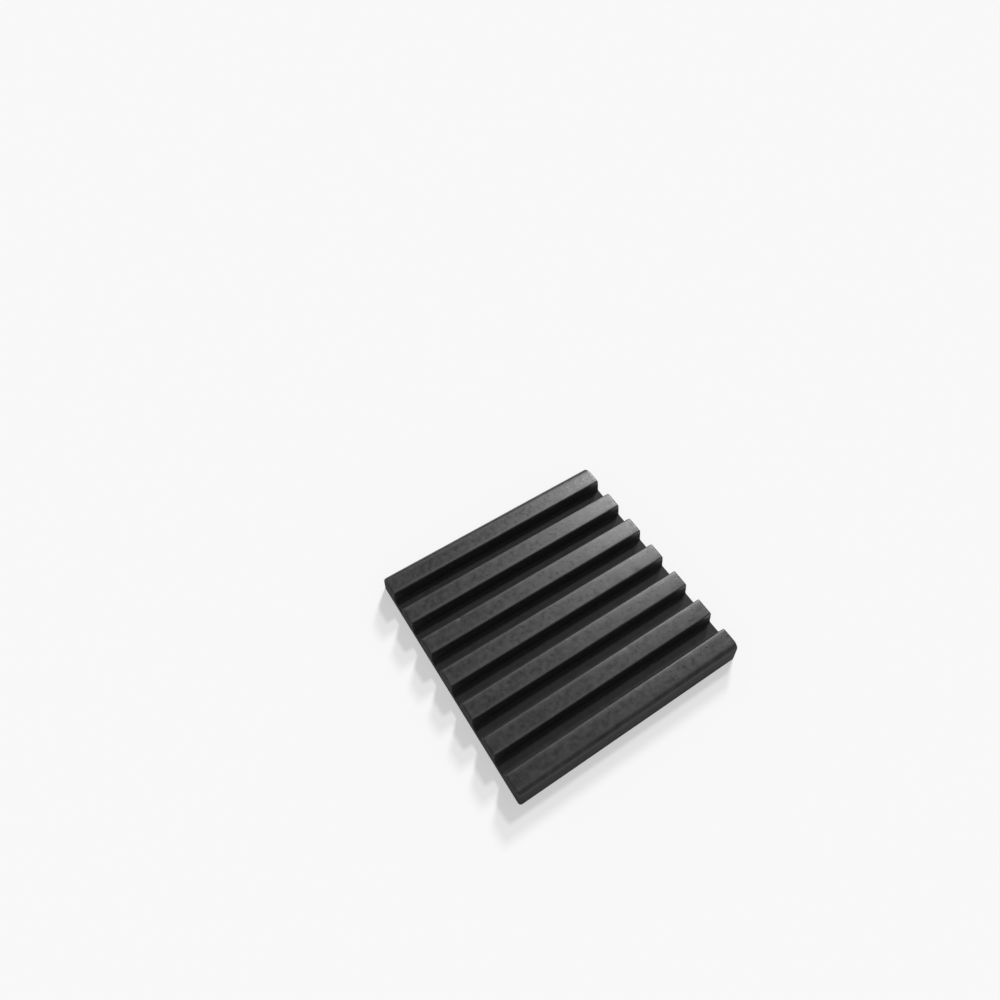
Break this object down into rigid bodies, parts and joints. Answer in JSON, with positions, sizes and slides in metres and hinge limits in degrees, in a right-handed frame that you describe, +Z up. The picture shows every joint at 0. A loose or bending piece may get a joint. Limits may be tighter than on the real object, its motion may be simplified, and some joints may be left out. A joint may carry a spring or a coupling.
{
  "type": "anti vibration pad",
  "caption": "Square pad of solid black rubber with parallel flat-topped ribs on its upper face, laid under a machine's foot to take up vibration.",
  "frame": {"origin": "centre of the flat underside", "axes": "+X along the ribs, +Y across the ribs, +Z up through the rib tops"},
  "size_m": [0.1, 0.1, 0.01],
  "materials": {
    "black_rubber": "matte moulded black rubber with a fine grain"
  },
  "bodies": {
    "root": {"ribbed_pad": "black_rubber"}
  },
  "joints": []
}
